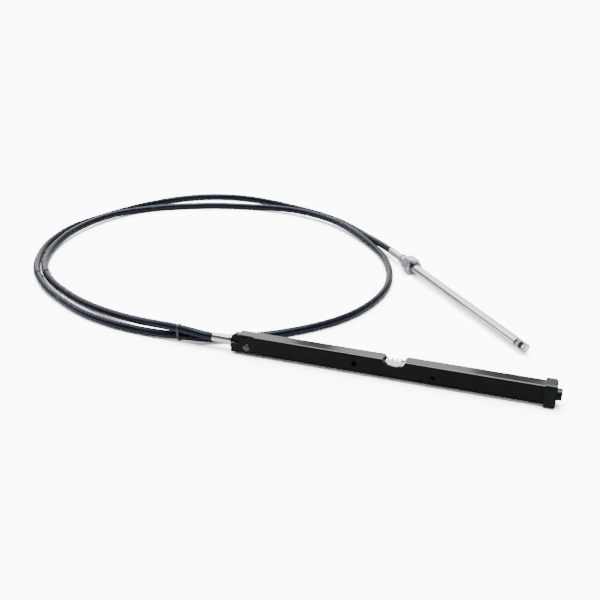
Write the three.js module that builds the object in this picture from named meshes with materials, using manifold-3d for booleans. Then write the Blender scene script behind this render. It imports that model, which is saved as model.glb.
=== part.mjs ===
// A rack and pinion steering cable for a small boat: a rack in its tube at one end,
// a coiled push-pull cable, and a telescoping ram with its coupling nut at the other.
// Millimetres, +Z up, lying loose on a level floor at z = 0.
import * as THREE from "three";
import { mergeVertices } from "three/addons/utils/BufferGeometryUtils.js";
import Module from "manifold-3d";

const wasm = await Module();
wasm.setup();

// Clearances
const SEAT_GAP = 0.3; // between a piece and what it seats on
const SLIDE_GAP = 0.3; // round each sliding piece
const PAST = 2; // how far a cutter runs past the face it cuts

// Rack housing: a rectangular tube, lying along X
const HOUSING_LENGTH = 454.5;
const HOUSING_WIDTH = 20;
const HOUSING_HEIGHT = 30;
const HOUSING_WALL = 3;
const HOUSING_CORNER = 3;
const HOUSING_INNER_CORNER = 1;

// Cable adapter: the stepped block that closes the housing at the cable's end
const ADAPTER_LENGTH = 12;
const ADAPTER_FOOT_HEIGHT = 17.5; // of the full width part, from the housing's bottom
const ADAPTER_NECK_SETBACK = 4.5; // of the narrower part above it, at the front and the back
const ADAPTER_TOP_DROP = 1.5; // of its top, below the housing's
const ADAPTER_TOP_BEVEL = 5; // where its top slopes down to its outer face
const ADAPTER_EDGE = 1.5;
const SPIGOT_LENGTH = 7.5;
const CORE_BORE = 6.5;

// Rivet through the front wall by the adapter, and the staked edge above it
const RIVET_FROM_ADAPTER = 13.4;
const RIVET_DROP = 3.7; // below the housing's middle
const RIVET_HEAD = 11.5;
const RIVET_HEAD_HEIGHT = 2;
const RIVET_SHANK = 5;
const STAKE_START = 1;
const STAKE_LENGTH = 23;
const STAKE_LEG = 3;

// Pinion notch and the two mounting holes beside it
const NOTCH_AT = 249; // from the adapter's outer face
const NOTCH_RADIUS = 17.4;
const NOTCH_AXIS_RISE = 5.4; // above the housing's top
const HOLE_SPACING = 114.3;
const HOLE_DIAMETER = 8;

// Rack bar, at its end of travel towards the cap
const BAR_PAST_NOTCH = 23; // of the bar, on the cable side of the notch's middle
const BAR_END_GAP = 11.3; // from the bar to the housing's free end
const BAR_TOP_GAP = 0.5; // above the tooth tips
const TOOTH_PITCH = 6.65;
const TOOTH_DEPTH = 4.6;
const TOOTH_TIP = 1.7;
const TOOTH_FOOT = 1.6;

// End cap, pushed over the housing's free end
const CAP_WALL = 3;
const CAP_REACH = 10.5;
const CAP_END = 5;
const CAP_BEVEL = 1.6;
const BOSS_DIAMETER = 17;
const BOSS_LENGTH = 7;
const BOSS_EDGE = 1;

// Ferrule that joins the cable to the adapter
const RACK_FERRULE_LENGTH = 33;
const RACK_FERRULE_DIAMETER = 14.3;
const RACK_FERRULE_EDGE = 0.8;
const COLLAR_DIAMETER = 18.5;
const COLLAR_LENGTH = 4;

// Output fitting: crimped ferrule, shoulder, neck and the flange that holds the nut
const OUT_FERRULE_LENGTH = 40.8;
const OUT_FERRULE_DIAMETER = 13.2;
const OUT_FERRULE_EDGE = 0.8;
const SHOULDER_DIAMETER = 18;
const SHOULDER_LENGTH = 4;
const NECK_LENGTH = 27;
const NECK_WALL = 1.3;
const FLANGE_OUT_DIAMETER = 20;
const FLANGE_OUT_LENGTH = 4;
const TUBE_SEAT_DEPTH = 29;

// Inner tube, fixed in the fitting, that the ram slides on
const TUBE_DIAMETER = 12.3;
const TUBE_REACH = 232; // past the nut's front face

// Coupling nut, free to turn on the neck
const NUT_FLATS = 28.6;
const NUT_LENGTH = 22;
const NUT_BORE = 22;
const NUT_BACK_WALL = 8.5;
const NUT_CHAMFER = 1.6;
const NUT_MOUTH_CHAMFER = 0.7;

// Output ram: a tube with a solid, flattened tip
const RAM_DIAMETER = 15.875;
const RAM_START = 3.5; // past the nut's front face
const RAM_SOLID_START = 287;
const RAM_STEP_AT = 294;
const RAM_STEP_DIAMETER = 15.1;
const FLAT_START = 300.5;
const FLAT_THICKNESS = 9.5;
const TIP_HOLE = 9.525;
const TIP_HOLE_AT = 313.5;
const TIP_RADIUS = 10;
const TIP_ROLL_DEG = -38;
const RAM_EDGE = 0.8;

// Cable jacket and the two bands round it
const CABLE_DIAMETER = 12.7;
const CABLE_SIDES = 10;
const CABLE_STEPS = 80;
const CABLE_LEAD = 3; // straight length out of each ferrule
const BAND_WIDTH = 3.6;
const BAND_THICKNESS = 1;
const BAND_GAP = 0.4; // between a band and the strands in it

// Where the rack and the output end lie on the floor
const RACK_PLACE = new THREE.Vector2(-39.5, -198.6);
const OUTPUT_PLACE = new THREE.Vector2(163.6, 166.7); // the nut's front face
const OUTPUT_TURN_DEG = -47.25;
const OUTPUT_DROP_DEG = 0.7; // the ram slopes down from the nut

// The cable's centre line, from the rack's ferrule round one and a half turns
const CABLE_COURSE = [
  [-86, -198.7, 18.6], [-106, -199.1, 21.2], [-130, -197.8, 22.2], [-153, -194.6, 21.6],
  [-182, -189.4, 18.8], [-213, -181, 14.8], [-245, -170.8, 11], [-276, -161, 8.6],
  [-310, -149.6, 7.2], [-348, -134.5, 6.6], [-388, -114, 6.6], [-432, -87, 7.4],
  [-467, -57.3, 8.4], [-491, -27.2, 7.4], [-511, 9.6, 6.6], [-527, 58.5, 8],
  [-534, 112.4, 10], [-532, 159.5, 10.5], [-523.5, 202, 10.5], [-509.5, 241, 10],
  [-489.5, 278, 8], [-462, 310, 6.6], [-424, 337.5, 6.6], [-380, 360, 6.6],
  [-334, 379, 6.6], [-286, 392, 6.6], [-241, 400, 6.6], [-200, 402, 8],
  [-157, 398.5, 9.8], [-108, 386.5, 11], [-57, 364.5, 11.4], [-16.5, 336.8, 11],
  [20, 304, 9.8], [50, 273.5, 8], [76, 242.5, 6.6], [98, 208.5, 6.6],
  [114.5, 171, 6.6], [126, 131.5, 6.6], [131.5, 90, 6.6], [129.5, 49.5, 6.6],
  [121, 9.5, 6.6], [107, -27.5, 6.6], [89, -59, 6.6], [67, -87, 6.6],
  [43, -111, 6.6], [18.5, -131.5, 6.6], [-6, -149, 6.6], [-51.5, -174.5, 6.6],
  [-102, -191.3, 7.7], [-131, -195.3, 8.4], [-157, -197, 7.6], [-200, -196.2, 6.6],
  [-258, -189.5, 6.6], [-326, -169.5, 6.6], [-407, -126, 6.6], [-444.5, -98.8, 7.4],
  [-479, -65.6, 8.4], [-503.5, -33.8, 7.4], [-524, 2.4, 6.6], [-545, 56, 6.6],
  [-554, 113, 6.6], [-553, 162, 6.6], [-541.5, 203, 6.6], [-524.5, 243, 6.6],
  [-506, 283, 6.6], [-484, 322, 6.6], [-457.5, 358, 6.6], [-426, 392, 6.6],
  [-390, 419, 6.6], [-350, 437, 6.6], [-306, 446.5, 6.6], [-262, 447, 6.6],
  [-219, 440, 6.6], [-172, 428, 6.6], [-126, 413.5, 6.6], [-79, 395, 6.6],
  [-36, 371, 6.6], [2.5, 341, 6.6], [37, 307.5, 8], [70, 269.5, 12.6],
];
// Where each band holds two strands together: a place near the centre of each strand
const LEFT_BAND = [[-479, -66, 8.4], [-468, -56, 8.4]];
const FRONT_BAND = [[-131, -195.3, 8.4], [-131, -197.8, 21.8]];

// Sizes that follow from the ones above
const cavityWidth = HOUSING_WIDTH - 2 * HOUSING_WALL;
const cavityHeight = HOUSING_HEIGHT - 2 * HOUSING_WALL;
const barTop = cavityHeight / 2 - BAR_TOP_GAP;
const housingStart = ADAPTER_LENGTH + SEAT_GAP;
const housingEnd = housingStart + HOUSING_LENGTH;
const barStart = NOTCH_AT - BAR_PAST_NOTCH;
const barLength = housingEnd - BAR_END_GAP - barStart;
const rackHeight = CAP_WALL + SEAT_GAP + HOUSING_HEIGHT / 2;
const outputHeight = NUT_FLATS / 2;
const nutBackWallFront = NUT_BACK_WALL - NUT_LENGTH;
const flangeBack = nutBackWallFront + SEAT_GAP;
const flangeFront = flangeBack + FLANGE_OUT_LENGTH;
const neckBack = flangeBack - NECK_LENGTH;
const shoulderBack = neckBack - SHOULDER_LENGTH;
const outFerruleBack = shoulderBack - OUT_FERRULE_LENGTH;
const tubeSeatBore = TUBE_DIAMETER + 2 * SLIDE_GAP;
const neckDiameter = tubeSeatBore + 2 * NECK_WALL;
const tubeBack = flangeFront - TUBE_SEAT_DEPTH + SEAT_GAP;
const ramBore = TUBE_DIAMETER + 2 * SLIDE_GAP;
const ROUND = 40; // facets round a turned piece

const PAINT_BLACK = { color: 0x0b0b0d, roughness: 0.28, metalness: 0.1 };
const PLASTIC_BLACK = { color: 0x141416, roughness: 0.45, metalness: 0 };
const JACKET_BLACK = { color: 0x15171c, roughness: 0.3, metalness: 0 };
const BRIGHT_STEEL = { color: 0xc9cbce, roughness: 0.22, metalness: 1 };
const ZINC = { color: 0xd9dadd, roughness: 0.4, metalness: 0.8 };
const CLEAR_BAND = { color: 0x9aa0a8, roughness: 0.4, metalness: 0 };

/** Closed geometry as a solid that can be cut and joined. */
function solidOf(geometry) {
  const bare = geometry.clone();
  bare.deleteAttribute("normal");
  bare.deleteAttribute("uv");
  const merged = mergeVertices(bare, 1e-4);
  return new wasm.Manifold(
    new wasm.Mesh({
      numProp: 3,
      vertProperties: new Float32Array(merged.attributes.position.array),
      triVerts: new Uint32Array(merged.index.array),
    }),
  );
}

function namedMesh(name, geometry, look) {
  const mesh = new THREE.Mesh(geometry, new THREE.MeshStandardMaterial(look));
  mesh.name = name;
  return mesh;
}

function meshOf(name, solid, look) {
  const made = solid.getMesh();
  const geometry = new THREE.BufferGeometry();
  geometry.setAttribute("position", new THREE.BufferAttribute(made.vertProperties, 3));
  geometry.setIndex(new THREE.BufferAttribute(made.triVerts, 1));
  const flat = geometry.toNonIndexed();
  flat.computeVertexNormals();
  return namedMesh(name, flat, look);
}

/** Rectangle in Y and Z with rounded corners, as a shape whose x is Y and y is Z. */
function roundedRectangle(width, height, corner) {
  const w = width / 2;
  const h = height / 2;
  const shape = new THREE.Shape();
  shape.moveTo(-w + corner, -h);
  shape.lineTo(w - corner, -h);
  shape.absarc(w - corner, -h + corner, corner, -Math.PI / 2, 0, false);
  shape.lineTo(w, h - corner);
  shape.absarc(w - corner, h - corner, corner, 0, Math.PI / 2, false);
  shape.lineTo(-w + corner, h);
  shape.absarc(-w + corner, h - corner, corner, Math.PI / 2, Math.PI, false);
  shape.lineTo(-w, -h + corner);
  shape.absarc(-w + corner, -h + corner, corner, Math.PI, 1.5 * Math.PI, false);
  return shape;
}

/** A prism along +X whose section is drawn as (Y, Z), starting at x = start. */
function prismX(shape, start, length, curveSegments = 5) {
  const prism = new THREE.ExtrudeGeometry(shape, { depth: length, bevelEnabled: false, curveSegments });
  prism.applyMatrix4(new THREE.Matrix4().makeBasis(
    new THREE.Vector3(0, 1, 0),
    new THREE.Vector3(0, 0, 1),
    new THREE.Vector3(1, 0, 0),
  ));
  return prism.translate(start, 0, 0);
}

/** A piece turned about the X axis from (x, radius) points that close on themselves. */
function turnedX(points, segments = ROUND) {
  const profile = points.map(([x, radius]) => new THREE.Vector2(radius, x));
  profile.push(profile[0].clone());
  const turned = new THREE.LatheGeometry(profile, segments);
  turned.rotateZ(-Math.PI / 2);
  return turned;
}

function cylinderX(radius, start, end, segments = ROUND) {
  const cylinder = new THREE.CylinderGeometry(radius, radius, end - start, segments);
  return cylinder.rotateZ(Math.PI / 2).translate((start + end) / 2, 0, 0);
}

function cylinderY(radius, x, z, fromY, toY, segments = ROUND) {
  const cylinder = new THREE.CylinderGeometry(radius, radius, toY - fromY, segments);
  return cylinder.translate(x, (fromY + toY) / 2, z);
}

function boxBetween(low, high) {
  const size = high.map((value, axis) => value - low[axis]);
  const middle = high.map((value, axis) => (value + low[axis]) / 2);
  return new THREE.BoxGeometry(...size).translate(...middle);
}

// The rack end. Its x runs from the adapter's outer face, its y and z from the middle of the section.
function rackHousing() {
  const frontY = -HOUSING_WIDTH / 2;
  const topZ = HOUSING_HEIGHT / 2;
  let tube = solidOf(prismX(
    roundedRectangle(HOUSING_WIDTH, HOUSING_HEIGHT, HOUSING_CORNER), housingStart, HOUSING_LENGTH));
  tube = tube.subtract(solidOf(prismX(
    roundedRectangle(cavityWidth, cavityHeight, HOUSING_INNER_CORNER),
    housingStart - PAST, HOUSING_LENGTH + 2 * PAST, 2)));
  tube = tube.subtract(solidOf(cylinderY(
    NOTCH_RADIUS, NOTCH_AT, topZ + NOTCH_AXIS_RISE, frontY - PAST, -frontY + PAST, 64)));
  for (const side of [-1, 1]) {
    tube = tube.subtract(solidOf(cylinderY(
      HOLE_DIAMETER / 2, NOTCH_AT + side * HOLE_SPACING / 2, 0, frontY - PAST, frontY + HOUSING_WALL + PAST, 32)));
  }
  const rivetX = ADAPTER_LENGTH + RIVET_FROM_ADAPTER;
  tube = tube.subtract(solidOf(cylinderY(
    RIVET_SHANK / 2 + SEAT_GAP, rivetX, -RIVET_DROP, frontY - PAST, frontY + HOUSING_WALL + PAST, 24)));
  const stake = new THREE.Shape([
    new THREE.Vector2(frontY - PAST, topZ + PAST),
    new THREE.Vector2(frontY - PAST, topZ - STAKE_LEG - PAST),
    new THREE.Vector2(frontY + STAKE_LEG + PAST, topZ + PAST),
  ]);
  tube = tube.subtract(solidOf(prismX(stake, housingStart + STAKE_START, STAKE_LENGTH)));
  return meshOf("rack_housing", tube, PAINT_BLACK);
}

function cableAdapter() {
  const bottom = -HOUSING_HEIGHT / 2;
  const step = bottom + ADAPTER_FOOT_HEIGHT;
  const top = HOUSING_HEIGHT / 2 - ADAPTER_TOP_DROP;
  const half = HOUSING_WIDTH / 2;
  const neck = half - ADAPTER_NECK_SETBACK;
  const section = new THREE.Shape([
    new THREE.Vector2(-half, bottom + ADAPTER_EDGE),
    new THREE.Vector2(-half + ADAPTER_EDGE, bottom),
    new THREE.Vector2(half - ADAPTER_EDGE, bottom),
    new THREE.Vector2(half, bottom + ADAPTER_EDGE),
    new THREE.Vector2(half, step - ADAPTER_EDGE),
    new THREE.Vector2(neck, step),
    new THREE.Vector2(neck, top - ADAPTER_EDGE),
    new THREE.Vector2(neck - ADAPTER_EDGE, top),
    new THREE.Vector2(-neck + ADAPTER_EDGE, top),
    new THREE.Vector2(-neck, top - ADAPTER_EDGE),
    new THREE.Vector2(-neck, step),
    new THREE.Vector2(-half, step - ADAPTER_EDGE),
  ]);
  let block = solidOf(prismX(section, 0, ADAPTER_LENGTH));
  const slope = new THREE.Shape([
    new THREE.Vector2(-PAST, top + PAST),
    new THREE.Vector2(-PAST, top - ADAPTER_TOP_BEVEL - PAST),
    new THREE.Vector2(ADAPTER_TOP_BEVEL + PAST, top + PAST),
  ]);
  const wedge = new THREE.ExtrudeGeometry(slope, { depth: HOUSING_WIDTH, bevelEnabled: false });
  block = block.subtract(solidOf(wedge.rotateX(Math.PI / 2).translate(0, half, 0)));
  block = block.add(solidOf(prismX(
    roundedRectangle(cavityWidth - 2 * SEAT_GAP, cavityHeight - 2 * SEAT_GAP, HOUSING_INNER_CORNER),
    ADAPTER_LENGTH - ADAPTER_EDGE, SPIGOT_LENGTH + ADAPTER_EDGE, 2)));
  block = block.subtract(solidOf(cylinderX(CORE_BORE / 2, -PAST, ADAPTER_LENGTH + SPIGOT_LENGTH + PAST, 24)));
  return meshOf("cable_adapter", block, PAINT_BLACK);
}

function adapterRivet() {
  const face = HOUSING_WIDTH / 2 + SEAT_GAP;
  const head = RIVET_HEAD / 2;
  const shank = RIVET_SHANK / 2;
  const innerEnd = HOUSING_WIDTH / 2 - HOUSING_WALL + SEAT_GAP;
  const profile = [
    [innerEnd, 0], [innerEnd, shank], [face, shank], [face, head],
    [face + RIVET_HEAD_HEIGHT * 0.5, head * 0.92], [face + RIVET_HEAD_HEIGHT * 0.9, head * 0.6], [face + RIVET_HEAD_HEIGHT, 0],
  ].map(([along, radius]) => new THREE.Vector2(radius, along));
  const rivet = new THREE.LatheGeometry(profile, 24);
  rivet.rotateX(Math.PI);
  rivet.translate(ADAPTER_LENGTH + RIVET_FROM_ADAPTER, 0, -RIVET_DROP);
  return meshOf("adapter_rivet", solidOf(rivet), ZINC);
}

function rackBar() {
  const bottom = -cavityHeight / 2 + SLIDE_GAP;
  const width = cavityWidth - 2 * SLIDE_GAP;
  const root = barTop - TOOTH_DEPTH;
  const flank = (TOOTH_PITCH - TOOTH_TIP - TOOTH_FOOT) / 2;
  const teeth = Math.floor(barLength / TOOTH_PITCH);
  const lead = (barLength - teeth * TOOTH_PITCH) / 2;
  const profile = [new THREE.Vector2(0, bottom), new THREE.Vector2(barLength, bottom), new THREE.Vector2(barLength, root)];
  for (let i = teeth - 1; i >= 0; i -= 1) {
    const start = lead + i * TOOTH_PITCH + TOOTH_FOOT / 2;
    profile.push(new THREE.Vector2(start + 2 * flank + TOOTH_TIP, root));
    profile.push(new THREE.Vector2(start + flank + TOOTH_TIP, barTop));
    profile.push(new THREE.Vector2(start + flank, barTop));
    profile.push(new THREE.Vector2(start, root));
  }
  profile.push(new THREE.Vector2(0, root));
  const bar = new THREE.ExtrudeGeometry(new THREE.Shape(profile), { depth: width, bevelEnabled: false });
  bar.rotateX(Math.PI / 2).translate(barStart, width / 2, 0);
  return meshOf("rack_bar", solidOf(bar), BRIGHT_STEEL);
}

function rackEndCap() {
  const inner = { width: HOUSING_WIDTH + 2 * SEAT_GAP, height: HOUSING_HEIGHT + 2 * SEAT_GAP };
  const outer = { width: inner.width + 2 * CAP_WALL, height: inner.height + 2 * CAP_WALL };
  const start = housingEnd - CAP_REACH;
  const pocketEnd = housingEnd + SEAT_GAP;
  const end = pocketEnd + CAP_END;
  const corner = HOUSING_CORNER + CAP_WALL;
  let cap = solidOf(prismX(roundedRectangle(outer.width, outer.height, corner), start, end - CAP_BEVEL - start));
  cap = cap.add(solidOf(prismX(
    roundedRectangle(outer.width - 2 * CAP_BEVEL, outer.height - 2 * CAP_BEVEL, corner - CAP_BEVEL),
    end - 2 * CAP_BEVEL, 2 * CAP_BEVEL)));
  cap = cap.add(solidOf(turnedX([
    [end - CAP_BEVEL, 0],
    [end - CAP_BEVEL, BOSS_DIAMETER / 2],
    [end + BOSS_LENGTH - BOSS_EDGE, BOSS_DIAMETER / 2],
    [end + BOSS_LENGTH, BOSS_DIAMETER / 2 - BOSS_EDGE],
    [end + BOSS_LENGTH, 0],
  ])));
  cap = cap.subtract(solidOf(prismX(
    roundedRectangle(inner.width, inner.height, HOUSING_CORNER), start - PAST, pocketEnd - start + PAST)));
  return meshOf("rack_end_cap", cap, PLASTIC_BLACK);
}

function rackFerrule() {
  const body = RACK_FERRULE_DIAMETER / 2;
  const collar = COLLAR_DIAMETER / 2;
  const bore = CORE_BORE / 2;
  const end = -SEAT_GAP;
  const start = end - RACK_FERRULE_LENGTH;
  return meshOf("rack_ferrule", solidOf(turnedX([
    [start, bore], [start, body - RACK_FERRULE_EDGE], [start + RACK_FERRULE_EDGE, body],
    [end - COLLAR_LENGTH, body], [end - COLLAR_LENGTH, collar], [end, collar], [end, bore],
  ])), BRIGHT_STEEL);
}

// The output end. Its x runs along the ram from the nut's front face.
function outputFitting() {
  const body = OUT_FERRULE_DIAMETER / 2;
  const shoulder = SHOULDER_DIAMETER / 2;
  const neck = neckDiameter / 2;
  const flange = FLANGE_OUT_DIAMETER / 2;
  const core = CORE_BORE / 2;
  const seat = tubeSeatBore / 2;
  const seatEnd = flangeFront - TUBE_SEAT_DEPTH;
  return meshOf("output_fitting", solidOf(turnedX([
    [outFerruleBack, core], [outFerruleBack, body - OUT_FERRULE_EDGE], [outFerruleBack + OUT_FERRULE_EDGE, body],
    [shoulderBack, body], [shoulderBack, shoulder], [neckBack, shoulder], [neckBack, neck], [flangeBack, neck],
    [flangeBack, flange], [flangeFront, flange], [flangeFront, seat], [seatEnd, seat], [seatEnd, core],
  ])), BRIGHT_STEEL);
}

function innerTube() {
  const bore = CORE_BORE / 2;
  const outside = TUBE_DIAMETER / 2;
  return meshOf("inner_tube", solidOf(turnedX([
    [tubeBack, bore], [tubeBack, outside], [TUBE_REACH, outside], [TUBE_REACH, bore],
  ])), BRIGHT_STEEL);
}

function couplingNut() {
  const acrossCorners = NUT_FLATS / Math.cos(Math.PI / 6);
  const flats = NUT_FLATS / 2;
  let nut = solidOf(cylinderX(acrossCorners / 2, -NUT_LENGTH, 0, 6).rotateX(Math.PI / 6));
  const rim = flats - 0.2;
  const corner = acrossCorners / 2 + NUT_CHAMFER;
  const drop = (corner - rim) * Math.tan(Math.PI / 6);
  nut = nut.intersect(solidOf(turnedX([
    [-NUT_LENGTH, 0], [-NUT_LENGTH, rim], [-NUT_LENGTH + drop, corner], [-drop, corner], [0, rim], [0, 0],
  ])));
  const bore = NUT_BORE / 2;
  nut = nut.subtract(solidOf(turnedX([
    [nutBackWallFront, 0], [nutBackWallFront, bore], [-NUT_MOUTH_CHAMFER, bore],
    [PAST, bore + NUT_MOUTH_CHAMFER + PAST], [PAST, 0],
  ])));
  nut = nut.subtract(solidOf(cylinderX(neckDiameter / 2 + SLIDE_GAP, -NUT_LENGTH - PAST, 0)));
  return meshOf("coupling_nut", nut, ZINC);
}

function outputRam() {
  const outside = RAM_DIAMETER / 2;
  const step = RAM_STEP_DIAMETER / 2;
  const bore = ramBore / 2;
  const end = TIP_HOLE_AT + TIP_RADIUS;
  const body = solidOf(turnedX([
    [RAM_START, bore], [RAM_START, outside - RAM_EDGE], [RAM_START + RAM_EDGE, outside],
    [RAM_STEP_AT, outside], [RAM_STEP_AT, step], [FLAT_START, step], [FLAT_START, 0],
    [RAM_SOLID_START, 0], [RAM_SOLID_START, bore],
  ]));
  const slab = boxBetween([FLAT_START - PAST, -FLAT_THICKNESS / 2, -RAM_DIAMETER], [end + PAST, FLAT_THICKNESS / 2, RAM_DIAMETER]);
  let outline = solidOf(cylinderY(TIP_RADIUS, TIP_HOLE_AT, 0, -RAM_DIAMETER, RAM_DIAMETER));
  outline = outline.add(solidOf(boxBetween([FLAT_START - PAST, -RAM_DIAMETER, -RAM_DIAMETER], [TIP_HOLE_AT, RAM_DIAMETER, RAM_DIAMETER])));
  let tip = solidOf(cylinderX(step, FLAT_START - PAST, end));
  tip = tip.intersect(solidOf(slab)).intersect(outline);
  tip = tip.subtract(solidOf(cylinderY(TIP_HOLE / 2, TIP_HOLE_AT, 0, -RAM_DIAMETER, RAM_DIAMETER, 32)));
  const ram = meshOf("output_ram", body.add(tip), BRIGHT_STEEL);
  ram.rotation.x = THREE.MathUtils.degToRad(TIP_ROLL_DEG);
  return ram;
}

// The cable and its bands
function polygonShape(radius, sides) {
  const corners = [];
  for (let i = 0; i < sides; i += 1) {
    const angle = (2 * Math.PI * i) / sides;
    corners.push(new THREE.Vector2(radius * Math.cos(angle), radius * Math.sin(angle)));
  }
  return new THREE.Shape(corners);
}

function cableCurve(rackEnd, outputEnd, outputDirection) {
  const course = CABLE_COURSE.map((point) => new THREE.Vector3(...point));
  const rackLead = rackEnd.clone().add(new THREE.Vector3(-CABLE_LEAD, 0, 0));
  const outputLead = outputEnd.clone().addScaledVector(outputDirection, -CABLE_LEAD);
  const points = [rackEnd, rackLead, ...course, outputLead, outputEnd];
  const curve = new THREE.CatmullRomCurve3(points, false, "centripetal");
  curve.arcLengthDivisions = 2000;
  return curve;
}

function steeringCable(curve) {
  const tube = new THREE.ExtrudeGeometry(polygonShape(CABLE_DIAMETER / 2, CABLE_SIDES), {
    steps: CABLE_STEPS, extrudePath: curve, bevelEnabled: false,
  });
  return meshOf("steering_cable", solidOf(tube), JACKET_BLACK);
}

/** The place on the cable as it is built, in straight steps, that is nearest to the given one. */
function strandNear(curve, place) {
  const corners = curve.getSpacedPoints(CABLE_STEPS);
  const wanted = new THREE.Vector3(...place);
  let best = null;
  for (let i = 0; i < CABLE_STEPS; i += 1) {
    const centre = new THREE.Line3(corners[i], corners[i + 1]).closestPointToPoint(wanted, true, new THREE.Vector3());
    const distance = centre.distanceTo(wanted);
    if (!best || distance < best.distance) {
      best = { centre, distance, along: corners[i + 1].clone().sub(corners[i]).normalize() };
    }
  }
  return best;
}

/** A flat band round two strands of the cable. */
function cableBand(name, curve, [nearPlace, farPlace]) {
  const near = strandNear(curve, nearPlace);
  const far = strandNear(curve, farPlace);
  const across = far.centre.clone().sub(near.centre);
  const half = across.length() / 2;
  const inside = CABLE_DIAMETER / 2 + BAND_GAP;
  const outline = (radius) => {
    const shape = new THREE.Shape();
    shape.absarc(half, 0, radius, -Math.PI / 2, Math.PI / 2, false);
    shape.absarc(-half, 0, radius, Math.PI / 2, 1.5 * Math.PI, false);
    return shape;
  };
  const ring = outline(inside + BAND_THICKNESS);
  ring.holes.push(new THREE.Path(outline(inside).getPoints(8).reverse()));
  const band = new THREE.ExtrudeGeometry(ring, { depth: BAND_WIDTH, bevelEnabled: false, curveSegments: 8 });
  band.translate(0, 0, -BAND_WIDTH / 2);
  const xAxis = across.normalize();
  const mean = near.along.clone().multiplyScalar(Math.sign(near.along.dot(far.along))).add(far.along);
  const zAxis = mean.addScaledVector(xAxis, -mean.dot(xAxis)).normalize();
  band.applyMatrix4(new THREE.Matrix4().makeBasis(xAxis, zAxis.clone().cross(xAxis), zAxis));
  const middle = near.centre.add(far.centre).multiplyScalar(0.5);
  band.translate(middle.x, middle.y, middle.z);
  return meshOf(name, solidOf(band), CLEAR_BAND);
}

const rackEnd = new THREE.Group();
rackEnd.add(rackHousing(), cableAdapter(), adapterRivet(), rackBar(), rackEndCap(), rackFerrule());
rackEnd.position.set(RACK_PLACE.x, RACK_PLACE.y, rackHeight);

const outputEnd = new THREE.Group();
outputEnd.add(outputFitting(), innerTube(), couplingNut(), outputRam());
outputEnd.position.set(OUTPUT_PLACE.x, OUTPUT_PLACE.y, outputHeight);
outputEnd.rotation.set(0, THREE.MathUtils.degToRad(OUTPUT_DROP_DEG), THREE.MathUtils.degToRad(OUTPUT_TURN_DEG), "ZYX");

const hardware = new THREE.Group();
hardware.add(rackEnd, outputEnd);
hardware.updateMatrixWorld(true);

const rackFerruleFace = rackEnd.localToWorld(new THREE.Vector3(-RACK_FERRULE_LENGTH - 2 * SEAT_GAP, 0, 0));
const outputFerruleFace = outputEnd.localToWorld(new THREE.Vector3(outFerruleBack - SEAT_GAP, 0, 0));
const ramDirection = new THREE.Vector3(1, 0, 0).transformDirection(outputEnd.matrixWorld);
const cable = new THREE.Group();
const curve = cableCurve(rackFerruleFace, outputFerruleFace, ramDirection);
cable.add(
  steeringCable(curve),
  cableBand("left_band", curve, LEFT_BAND),
  cableBand("front_band", curve, FRONT_BAND),
);

// The origin is the middle of the base of everything but the cable and its bands.
const extent = new THREE.Box3().setFromObject(hardware, true);
const group = new THREE.Group();
group.add(hardware, cable);
group.position.set(-(extent.min.x + extent.max.x) / 2, -(extent.min.y + extent.max.y) / 2, -extent.min.z);
group.updateMatrixWorld(true);

export default group;
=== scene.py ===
# Looks of a rack and pinion boat steering cable, for Blender 4.5, in metres.
import math

import bpy
from mathutils import Matrix, Vector


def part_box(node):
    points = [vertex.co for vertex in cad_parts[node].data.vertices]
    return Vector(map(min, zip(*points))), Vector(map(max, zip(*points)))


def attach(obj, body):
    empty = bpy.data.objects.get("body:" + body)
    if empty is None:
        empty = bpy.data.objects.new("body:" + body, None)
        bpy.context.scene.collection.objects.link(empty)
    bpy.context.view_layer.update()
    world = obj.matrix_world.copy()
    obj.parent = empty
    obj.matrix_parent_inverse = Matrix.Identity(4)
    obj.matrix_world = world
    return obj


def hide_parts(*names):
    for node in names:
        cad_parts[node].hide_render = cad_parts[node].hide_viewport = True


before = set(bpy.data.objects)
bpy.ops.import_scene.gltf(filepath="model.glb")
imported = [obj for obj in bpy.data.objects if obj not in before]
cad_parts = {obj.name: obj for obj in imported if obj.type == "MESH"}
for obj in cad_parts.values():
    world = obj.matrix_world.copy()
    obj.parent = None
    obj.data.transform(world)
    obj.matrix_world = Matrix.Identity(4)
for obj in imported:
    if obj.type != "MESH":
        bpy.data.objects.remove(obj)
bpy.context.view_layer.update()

# Rack: the middle of the adapter's outer face
HOUSING_LOW, HOUSING_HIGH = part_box("rack_housing")
HOUSING_MIDDLE = (HOUSING_LOW + HOUSING_HIGH) / 2
RACK_PLACE = Vector((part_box("cable_adapter")[0].x, HOUSING_MIDDLE.y, HOUSING_MIDDLE.z))
RACK_FERRULE_LENGTH = 0.033
SEAT_GAP = 0.0003

# The point on the floor that the camera aims at, from which the places below are measured
RACK_FROM_AIM = Vector((-0.0395, -0.1986, 0.0183))
AIM = RACK_PLACE - RACK_FROM_AIM

# Camera
CAMERA_PLACE = AIM + Vector((0.4053, -1.1974, 0.6166))
CAMERA_CLIP_START = 0.01
PHOTO_WIDTH_PX = 600
FOCAL_LENGTH_PX = 820
SENSOR_MM = 36.0

# Output end, whose x runs along the ram from the nut's front face
OUTPUT_PLACE = AIM + Vector((0.1636, 0.1667, 0.0143))
OUTPUT_TURN = Matrix.Rotation(math.radians(-47.25), 3, "Z")
OUTPUT_DROP = Matrix.Rotation(math.radians(0.7), 3, "Y")
OUTPUT_ROTATION = OUTPUT_TURN @ OUTPUT_DROP
OUTPUT_DIRECTION = OUTPUT_ROTATION @ Vector((1, 0, 0))
OUTPUT_FERRULE_BACK = -0.0853

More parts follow.
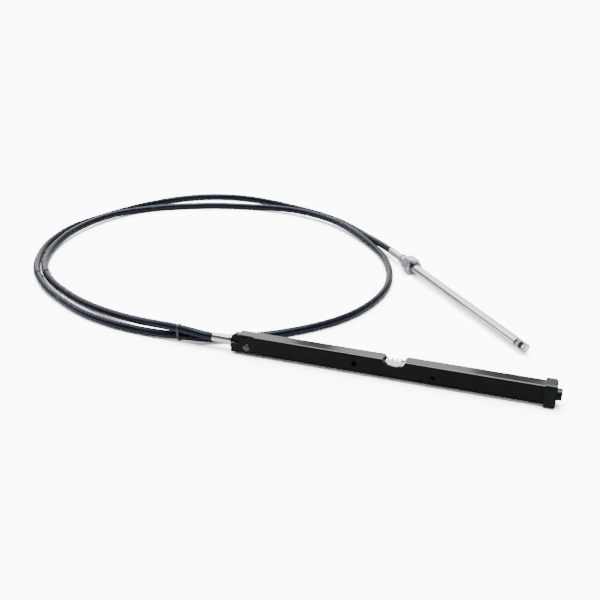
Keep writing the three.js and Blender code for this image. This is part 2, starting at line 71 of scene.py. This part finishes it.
# The hole across the ram's tip, which is rolled about the ram, where painted shade darkens the steel
TIP_ROLL = Matrix.Rotation(math.radians(-38), 3, "X")
TIP_HOLE_ALONG = 0.3135
TIP_HOLE_PLACE = OUTPUT_PLACE + TIP_HOLE_ALONG * OUTPUT_DIRECTION
TIP_HOLE_AXIS = OUTPUT_ROTATION @ TIP_ROLL @ Vector((0, -1, 0))
TIP_HOLE_RADIUS = 0.0049
TIP_HOLE_SHADE_EDGE = 0.0004

# Cable
CABLE_DIAMETER = 0.0127
CABLE_LEAD = 0.003
CABLE_STEP = 0.008
CABLE_ROUNDNESS = 10
CABLE_COURSE = [
    (-0.086, -0.1987, 0.0186), (-0.106, -0.1991, 0.0212), (-0.13, -0.1978, 0.0222),
    (-0.153, -0.1946, 0.0216), (-0.182, -0.1894, 0.0188), (-0.213, -0.181, 0.0148),
    (-0.245, -0.1708, 0.011), (-0.276, -0.161, 0.0086), (-0.31, -0.1496, 0.0072),
    (-0.348, -0.1345, 0.0066), (-0.388, -0.114, 0.0066), (-0.432, -0.087, 0.0074),
    (-0.467, -0.0573, 0.0084), (-0.491, -0.0272, 0.0074), (-0.511, 0.0096, 0.0066),
    (-0.527, 0.0585, 0.008), (-0.534, 0.1124, 0.01), (-0.532, 0.1595, 0.0105),
    (-0.5235, 0.202, 0.0105), (-0.5095, 0.241, 0.01), (-0.4895, 0.278, 0.008),
    (-0.462, 0.31, 0.0066), (-0.424, 0.3375, 0.0066), (-0.38, 0.36, 0.0066),
    (-0.334, 0.379, 0.0066), (-0.286, 0.392, 0.0066), (-0.241, 0.4, 0.0066),
    (-0.2, 0.402, 0.008), (-0.157, 0.3985, 0.0098), (-0.108, 0.3865, 0.011),
    (-0.057, 0.3645, 0.0114), (-0.0165, 0.3368, 0.011), (0.02, 0.304, 0.0098),
    (0.05, 0.2735, 0.008), (0.076, 0.2425, 0.0066), (0.098, 0.2085, 0.0066),
    (0.1145, 0.171, 0.0066), (0.126, 0.1315, 0.0066), (0.1315, 0.09, 0.0066),
    (0.1295, 0.0495, 0.0066), (0.121, 0.0095, 0.0066), (0.107, -0.0275, 0.0066),
    (0.089, -0.059, 0.0066), (0.067, -0.087, 0.0066), (0.043, -0.111, 0.0066),
    (0.0185, -0.1315, 0.0066), (-0.006, -0.149, 0.0066), (-0.0515, -0.1745, 0.0066),
    (-0.102, -0.1913, 0.0077), (-0.131, -0.1953, 0.0084), (-0.157, -0.197, 0.0076),
    (-0.2, -0.1962, 0.0066), (-0.258, -0.1895, 0.0066), (-0.326, -0.1695, 0.0066),
    (-0.407, -0.126, 0.0066), (-0.4445, -0.0988, 0.0074), (-0.479, -0.0656, 0.0084),
    (-0.5035, -0.0338, 0.0074), (-0.524, 0.0024, 0.0066), (-0.545, 0.056, 0.0066),
    (-0.554, 0.113, 0.0066), (-0.553, 0.162, 0.0066), (-0.5415, 0.203, 0.0066),
    (-0.5245, 0.243, 0.0066), (-0.506, 0.283, 0.0066), (-0.484, 0.322, 0.0066),
    (-0.4575, 0.358, 0.0066), (-0.426, 0.392, 0.0066), (-0.39, 0.419, 0.0066),
    (-0.35, 0.437, 0.0066), (-0.306, 0.4465, 0.0066), (-0.262, 0.447, 0.0066),
    (-0.219, 0.44, 0.0066), (-0.172, 0.428, 0.0066), (-0.126, 0.4135, 0.0066),
    (-0.079, 0.395, 0.0066), (-0.036, 0.371, 0.0066), (0.0025, 0.341, 0.0066),
    (0.037, 0.3075, 0.008), (0.07, 0.2695, 0.0126),
]

# Looks
GRAIN_DEPTH = 0.0002
CAP_RIB_DEPTH = 0.0003
CAP_RIB_SCALE = 160
# Painted shade: specular tints that dim reflections on the upright faces of the paint and the cap
PAINT_SIDE_REFLECTION_SHADE = (0.06, 0.045, 0.045)
CAP_SIDE_REFLECTION_SHADE = (0.1, 0.13, 0.11)
# Painted shade: the bar is near black below BAR_SHADE_TOP, its edge ragged by noise
BAR_SHADE_TOP = 0.0225
BAR_UNSHADED_START = 0.0235
BAR_SHADE_RAGGEDNESS = 0.001

# Studio, a world of light. Its edges and gaps say how far a direction leans to STUDIO_BACK,
# to STUDIO_RIGHT or straight up, from -1 for away from it to 1 for along it.
STUDIO_BACK = (-0.32, 0.947, 0)
STUDIO_RIGHT = (0.947, 0.32, 0)
PANEL_EDGE = (-0.05, 0.15)
PANEL_LIGHT = 2.5
PANEL_GAPS = [(-0.012, 0.035), (0.20, 0.28), (0.36, 1.1)]
LOW_GAP_SIDE = -0.5
LOW_GAP_TOP = 0.5
GAP_SOFTNESS = 0.012
GAP_DEPTH = 0.9
OVERHEAD_EDGE = (0.9, 0.96)
OVERHEAD_LIGHT = 8.0
ROOM_LIGHT = 0.12
FLOOR_GAIN = 6.5
FLOOR_HALF_WIDTH = 12.0


def make_camera():
    data = bpy.data.cameras.new("camera")
    data.sensor_width = SENSOR_MM
    data.lens = SENSOR_MM * FOCAL_LENGTH_PX / PHOTO_WIDTH_PX
    data.clip_start = CAMERA_CLIP_START
    camera = bpy.data.objects.new("camera", data)
    bpy.context.collection.objects.link(camera)
    camera.location = CAMERA_PLACE
    camera.rotation_euler = (AIM - CAMERA_PLACE).to_track_quat("-Z", "Y").to_euler()
    bpy.context.scene.camera = camera


def rounded_line(points, step):
    """Points at most one step apart on a centripetal Catmull-Rom curve through the given points."""
    ends = [2 * points[0] - points[1]] + points + [2 * points[-1] - points[-2]]
    line = [points[0]]
    for a, b, c, d in zip(ends, ends[1:], ends[2:], ends[3:]):
        t1 = (b - a).length ** 0.5
        t2 = t1 + (c - b).length ** 0.5
        t3 = t2 + (d - c).length ** 0.5
        count = max(1, math.ceil((c - b).length / step))
        for i in range(1, count + 1):
            t = t1 + (t2 - t1) * i / count
            ab = a.lerp(b, t / t1)
            bc = b.lerp(c, (t - t1) / (t2 - t1))
            cd = c.lerp(d, (t - t2) / (t3 - t2))
            abc = ab.lerp(bc, t / t2)
            bcd = bc.lerp(cd, (t - t1) / (t3 - t1))
            line.append(abc.lerp(bcd, (t - t1) / (t2 - t1)))
    return line


def make_cable():
    rack_end = RACK_PLACE + Vector((-RACK_FERRULE_LENGTH - 2 * SEAT_GAP, 0, 0))
    output_end = OUTPUT_PLACE + OUTPUT_DIRECTION * OUTPUT_FERRULE_BACK
    course = [AIM + Vector(point) for point in CABLE_COURSE]
    points = [rack_end, rack_end - Vector((CABLE_LEAD, 0, 0)), *course]
    points += [output_end - OUTPUT_DIRECTION * CABLE_LEAD, output_end]
    line = rounded_line(points, CABLE_STEP)
    data = bpy.data.curves.new("cable", "CURVE")
    data.dimensions = "3D"
    data.bevel_depth = CABLE_DIAMETER / 2
    data.bevel_resolution = CABLE_ROUNDNESS
    data.use_fill_caps = True
    spline = data.splines.new("POLY")
    spline.points.add(len(line) - 1)
    for point, place in zip(spline.points, line):
        point.co = (*place, 1)
    cable = bpy.data.objects.new("cable", data)
    bpy.context.collection.objects.link(cable)
    data.materials.append(jacket_material())
    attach(cable, "base")
    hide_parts("steering_cable")


def new_material(name):
    material = bpy.data.materials.new(name)
    material.use_nodes = True
    nodes = material.node_tree.nodes
    return material, nodes, material.node_tree.links, nodes["Principled BSDF"]


def noise(nodes, links, coordinates, scale, detail=4.0, stretch=(1, 1, 1)):
    """A noise texture's value, over the object's own coordinates."""
    mapping = nodes.new("ShaderNodeMapping")
    mapping.inputs["Scale"].default_value = stretch
    links.new(coordinates, mapping.inputs["Vector"])
    texture = nodes.new("ShaderNodeTexNoise")
    texture.inputs["Scale"].default_value = scale
    texture.inputs["Detail"].default_value = detail
    links.new(mapping.outputs["Vector"], texture.inputs["Vector"])
    return texture.outputs["Fac"]


def ramp(nodes, links, value, stops):
    """A colour ramp with the given (place, colour) stops."""
    colours = nodes.new("ShaderNodeValToRGB")
    elements = colours.color_ramp.elements
    while len(elements) < len(stops):
        elements.new(0.5)
    for element, (place, colour) in zip(elements, stops):
        element.position = place
        element.color = (*colour, 1)
    links.new(value, colours.inputs["Fac"])
    return colours.outputs["Color"]


def grey(value):
    return (value, value, value)


def add_bump(nodes, links, shader, height, strength, distance):
    bump = nodes.new("ShaderNodeBump")
    bump.inputs["Strength"].default_value = strength
    bump.inputs["Distance"].default_value = distance
    links.new(height, bump.inputs["Height"])
    links.new(bump.outputs["Normal"], shader.inputs["Normal"])


def object_coordinates(nodes):
    return nodes.new("ShaderNodeTexCoord").outputs["Object"]


def shade_upright_reflections(nodes, links, shader, side):
    """Painted shade on reflections: a weaker specular tint on upright faces, full on faces that look up.
    """
    facing = nodes.new("ShaderNodeTexCoord").outputs["Normal"]
    parts = nodes.new("ShaderNodeSeparateXYZ")
    links.new(facing, parts.inputs["Vector"])
    tint = ramp(nodes, links, parts.outputs["Z"], [(0.3, side), (0.95, grey(1.0))])
    links.new(tint, shader.inputs["Specular Tint"])


def jacket_material():
    material, nodes, links, shader = new_material("black_jacket")
    place = object_coordinates(nodes)
    mottle = noise(nodes, links, place, 60)
    tint = ramp(nodes, links, mottle, [(0.3, (0.006, 0.007, 0.010)), (0.7, (0.010, 0.012, 0.018))])
    links.new(tint, shader.inputs["Base Color"])
    rough = ramp(nodes, links, mottle, [(0.3, grey(0.2)), (0.75, grey(0.3))])
    links.new(rough, shader.inputs["Roughness"])
    shader.inputs["IOR"].default_value = 1.4
    shader.inputs["Specular Tint"].default_value = (0.5, 0.62, 0.9, 1)
    add_bump(nodes, links, shader, noise(nodes, links, place, 900, 2), 0.06, GRAIN_DEPTH)
    return material


def paint_material():
    material, nodes, links, shader = new_material("black_paint")
    place = object_coordinates(nodes)
    mottle = noise(nodes, links, place, 45)
    tint = ramp(nodes, links, mottle, [(0.3, (0.004, 0.0038, 0.0045)), (0.7, (0.007, 0.0065, 0.008))])
    links.new(tint, shader.inputs["Base Color"])
    rough = ramp(nodes, links, mottle, [(0.3, grey(0.07)), (0.75, grey(0.14))])
    links.new(rough, shader.inputs["Roughness"])
    shader.inputs["IOR"].default_value = 1.75
    # Painted shade: weaker reflections on upright faces
    shade_upright_reflections(nodes, links, shader, PAINT_SIDE_REFLECTION_SHADE)
    streaks = noise(nodes, links, place, 260, 3, (0.25, 1, 1))
    add_bump(nodes, links, shader, streaks, 0.05, GRAIN_DEPTH)
    return material


def plastic_material():
    """Black moulded plastic with fine ribs across its length."""
    material, nodes, links, shader = new_material("black_plastic")
    place = object_coordinates(nodes)
    mottle = noise(nodes, links, place, 80)
    tint = ramp(nodes, links, mottle, [(0.3, (0.006, 0.007, 0.006)), (0.7, (0.012, 0.014, 0.012))])
    links.new(tint, shader.inputs["Base Color"])
    rough = ramp(nodes, links, mottle, [(0.3, grey(0.16)), (0.75, grey(0.28))])
    links.new(rough, shader.inputs["Roughness"])
    # Painted shade: weaker reflections on upright faces
    shade_upright_reflections(nodes, links, shader, CAP_SIDE_REFLECTION_SHADE)
    ribs = nodes.new("ShaderNodeTexWave")
    ribs.bands_direction = "X"
    ribs.inputs["Scale"].default_value = CAP_RIB_SCALE
    ribs.inputs["Distortion"].default_value = 0.4
    links.new(place, ribs.inputs["Vector"])
    add_bump(nodes, links, shader, ribs.outputs["Fac"], 0.25, CAP_RIB_DEPTH)
    return material


def steel_material(name, bright, rough, brushed):
    material, nodes, links, shader = new_material(name)
    place = object_coordinates(nodes)
    mottle = noise(nodes, links, place, 120)
    low = tuple(0.86 * value for value in bright)
    links.new(ramp(nodes, links, mottle, [(0.25, low), (0.75, bright)]), shader.inputs["Base Color"])
    roughness = ramp(nodes, links, mottle, [(0.3, grey(rough * 0.8)), (0.75, grey(rough * 1.25))])
    links.new(roughness, shader.inputs["Roughness"])
    shader.inputs["Metallic"].default_value = 1.0
    add_bump(nodes, links, shader, noise(nodes, links, place, 700, 3), brushed, GRAIN_DEPTH)
    return material


def ram_material():
    """Polished steel, with painted shade inside the tip's hole."""
    material = steel_material("ram_steel", (0.9, 0.91, 0.93), 0.1, 0.03)
    nodes = material.node_tree.nodes
    links = material.node_tree.links
    shader = nodes["Principled BSDF"]
    bright = shader.inputs["Base Color"].links[0].from_socket
    place = object_coordinates(nodes)
    centre = nodes.new("ShaderNodeVectorMath")
    centre.operation = "SUBTRACT"
    centre.inputs[1].default_value = TIP_HOLE_PLACE
    links.new(place, centre.inputs[0])
    aside = nodes.new("ShaderNodeVectorMath")
    aside.operation = "CROSS_PRODUCT"
    aside.inputs[1].default_value = TIP_HOLE_AXIS
    links.new(centre.outputs["Vector"], aside.inputs[0])
    radius = nodes.new("ShaderNodeVectorMath")
    radius.operation = "LENGTH"
    links.new(aside.outputs["Vector"], radius.inputs[0])
    outside = TIP_HOLE_RADIUS + TIP_HOLE_SHADE_EDGE
    unshaded_share = step_up(nodes, links, radius.outputs["Value"], TIP_HOLE_RADIUS, outside)
    mix = nodes.new("ShaderNodeMix")
    mix.data_type = "RGBA"
    links.new(unshaded_share, mix.inputs["Factor"])
    # Painted shade: near-black steel inside the tip's hole
    mix.inputs["A"].default_value = (0.03, 0.03, 0.035, 1)
    links.new(bright, mix.inputs["B"])
    links.new(mix.outputs["Result"], shader.inputs["Base Color"])
    return material


def bar_material():
    """Bright cut teeth over sides painted near black, as painted shade inside the housing."""
    material, nodes, links, shader = new_material("bar_steel")
    place = object_coordinates(nodes)
    height = nodes.new("ShaderNodeSeparateXYZ")
    links.new(place, height.inputs["Vector"])
    ragged_height = nodes.new("ShaderNodeMath")
    ragged_height.operation = "MULTIPLY_ADD"
    links.new(noise(nodes, links, place, 180), ragged_height.inputs[0])
    ragged_height.inputs[1].default_value = BAR_SHADE_RAGGEDNESS
    links.new(height.outputs["Z"], ragged_height.inputs[2])
    unshaded_share = nodes.new("ShaderNodeMapRange")
    unshaded_share.inputs["From Min"].default_value = BAR_SHADE_TOP
    unshaded_share.inputs["From Max"].default_value = BAR_UNSHADED_START
    links.new(ragged_height.outputs["Value"], unshaded_share.inputs["Value"])
    # Painted shade: near black below the shade edge, bright steel above
    colour = ramp(nodes, links, unshaded_share.outputs["Result"], [(0.0, grey(0.02)), (1.0, (0.88, 0.89, 0.9))])
    links.new(colour, shader.inputs["Base Color"])
    rough = ramp(nodes, links, unshaded_share.outputs["Result"], [(0.0, grey(0.5)), (1.0, grey(0.2))])
    links.new(rough, shader.inputs["Roughness"])
    shader.inputs["Metallic"].default_value = 1.0
    add_bump(nodes, links, shader, noise(nodes, links, place, 700, 3), 0.08, GRAIN_DEPTH)
    return material


def band_material():
    """A thin clear tie, which shows mostly the black jacket under it."""
    material, nodes, links, shader = new_material("clear_band")
    place = object_coordinates(nodes)
    mottle = noise(nodes, links, place, 300)
    tint = ramp(nodes, links, mottle, [(0.3, grey(0.02)), (0.7, grey(0.05))])
    links.new(tint, shader.inputs["Base Color"])
    shader.inputs["Roughness"].default_value = 0.25
    return material


def dress(names, material):
    for name in names:
        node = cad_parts[name]
        for slot in node.material_slots:
            slot.material = material


def dress_nodes():
    dress(["rack_housing", "cable_adapter"], paint_material())
    dress(["rack_end_cap"], plastic_material())
    dress(["rack_bar"], bar_material())
    dress(["rack_ferrule", "output_fitting"], steel_material("ferrule_steel", (0.8, 0.8, 0.83), 0.2, 0.1))
    dress(["inner_tube"], steel_material("tube_steel", (0.5, 0.48, 0.52), 0.2, 0.05))
    dress(["output_ram"], ram_material())
    dress(["coupling_nut"], steel_material("nut_zinc", (0.72, 0.73, 0.78), 0.3, 0.1))
    dress(["adapter_rivet"], steel_material("rivet_steel", (0.07, 0.075, 0.09), 0.25, 0.1))
    dress(["left_band", "front_band"], band_material())


def floor_material():
    """White paper, which the camera sees FLOOR_GAIN times as bright, so that it burns out to white."""
    material = bpy.data.materials.new("floor")
    material.use_nodes = True
    nodes = material.node_tree.nodes
    links = material.node_tree.links
    nodes.remove(nodes["Principled BSDF"])
    paper = nodes.new("ShaderNodeBsdfDiffuse")
    paper_tone = noise(nodes, links, object_coordinates(nodes), 2)
    pale = ramp(nodes, links, paper_tone, [(0.3, grey(0.88)), (0.7, grey(0.9))])
    seen = nodes.new("ShaderNodeMapRange")
    seen.inputs["To Min"].default_value = 1.0
    seen.inputs["To Max"].default_value = FLOOR_GAIN
    links.new(nodes.new("ShaderNodeLightPath").outputs["Is Camera Ray"], seen.inputs["Value"])
    gain = nodes.new("ShaderNodeVectorMath")
    gain.operation = "SCALE"
    links.new(pale, gain.inputs[0])
    links.new(seen.outputs["Result"], gain.inputs["Scale"])
    links.new(gain.outputs["Vector"], paper.inputs["Color"])
    links.new(paper.outputs["BSDF"], nodes["Material Output"].inputs["Surface"])
    return material


def make_floor():
    half = FLOOR_HALF_WIDTH
    mesh = bpy.data.meshes.new("floor")
    corners = [(-half, -half, 0), (half, -half, 0), (half, half, 0), (-half, half, 0)]
    mesh.from_pydata(corners, [], [(0, 1, 2, 3)])
    mesh.materials.append(floor_material())
    floor = bpy.data.objects.new("floor", mesh)
    bpy.context.collection.objects.link(floor)


def dot_with(nodes, links, direction, axis):
    dot = nodes.new("ShaderNodeVectorMath")
    dot.operation = "DOT_PRODUCT"
    dot.inputs[1].default_value = axis
    links.new(direction, dot.inputs[0])
    return dot.outputs["Value"]


def step_up(nodes, links, value, start, end):
    """0 up to start and 1 from end on, smooth between; end may be the lower one."""
    step = nodes.new("ShaderNodeMapRange")
    step.interpolation_type = "SMOOTHSTEP"
    step.inputs["From Min"].default_value = start
    step.inputs["From Max"].default_value = end
    links.new(value, step.inputs["Value"])
    return step.outputs["Result"]


def calculate(nodes, links, operation, first, second):
    node = nodes.new("ShaderNodeMath")
    node.operation = operation
    for socket, value in zip(node.inputs, (first, second)):
        if isinstance(value, float):
            socket.default_value = value
        else:
            links.new(value, socket)
    return node.outputs["Value"]


def one_less(nodes, links, gap):
    """What a gap leaves of the light."""
    left = calculate(nodes, links, "MULTIPLY_ADD", gap, -GAP_DEPTH)
    left.node.inputs[2].default_value = 1.0
    return left


def make_light():
    """A studio: a bright overhead, pale panels at the back with gaps between them, and a dark front."""
    world = bpy.data.worlds.new("studio")
    world.use_nodes = True
    nodes = world.node_tree.nodes
    links = world.node_tree.links
    direction = nodes.new("ShaderNodeTexCoord").outputs["Generated"]
    up = dot_with(nodes, links, direction, (0, 0, 1))
    back = dot_with(nodes, links, direction, STUDIO_BACK)
    side = dot_with(nodes, links, direction, STUDIO_RIGHT)
    panels = step_up(nodes, links, back, *PANEL_EDGE)
    for start, end in PANEL_GAPS:
        after = step_up(nodes, links, side, start, start + GAP_SOFTNESS)
        before = step_up(nodes, links, side, end + GAP_SOFTNESS, end)
        gap = calculate(nodes, links, "MULTIPLY", after, before)
        panels = calculate(nodes, links, "MULTIPLY", panels, one_less(nodes, links, gap))
    left = step_up(nodes, links, side, LOW_GAP_SIDE, LOW_GAP_SIDE - GAP_SOFTNESS * 4)
    low = step_up(nodes, links, up, LOW_GAP_TOP, LOW_GAP_TOP - GAP_SOFTNESS * 4)
    low_gap = calculate(nodes, links, "MULTIPLY", left, low)
    panels = calculate(nodes, links, "MULTIPLY", panels, one_less(nodes, links, low_gap))
    panels = calculate(nodes, links, "MULTIPLY", panels, PANEL_LIGHT)
    overhead = step_up(nodes, links, up, *OVERHEAD_EDGE)
    overhead = calculate(nodes, links, "MULTIPLY", overhead, OVERHEAD_LIGHT)
    total = calculate(nodes, links, "ADD", panels, overhead)
    total = calculate(nodes, links, "ADD", total, ROOM_LIGHT)
    links.new(total, nodes["Background"].inputs["Strength"])
    nodes["Background"].inputs["Color"].default_value = (1, 1, 1, 1)
    bpy.context.scene.world = world


make_camera()
make_cable()
dress_nodes()
make_floor()
make_light()
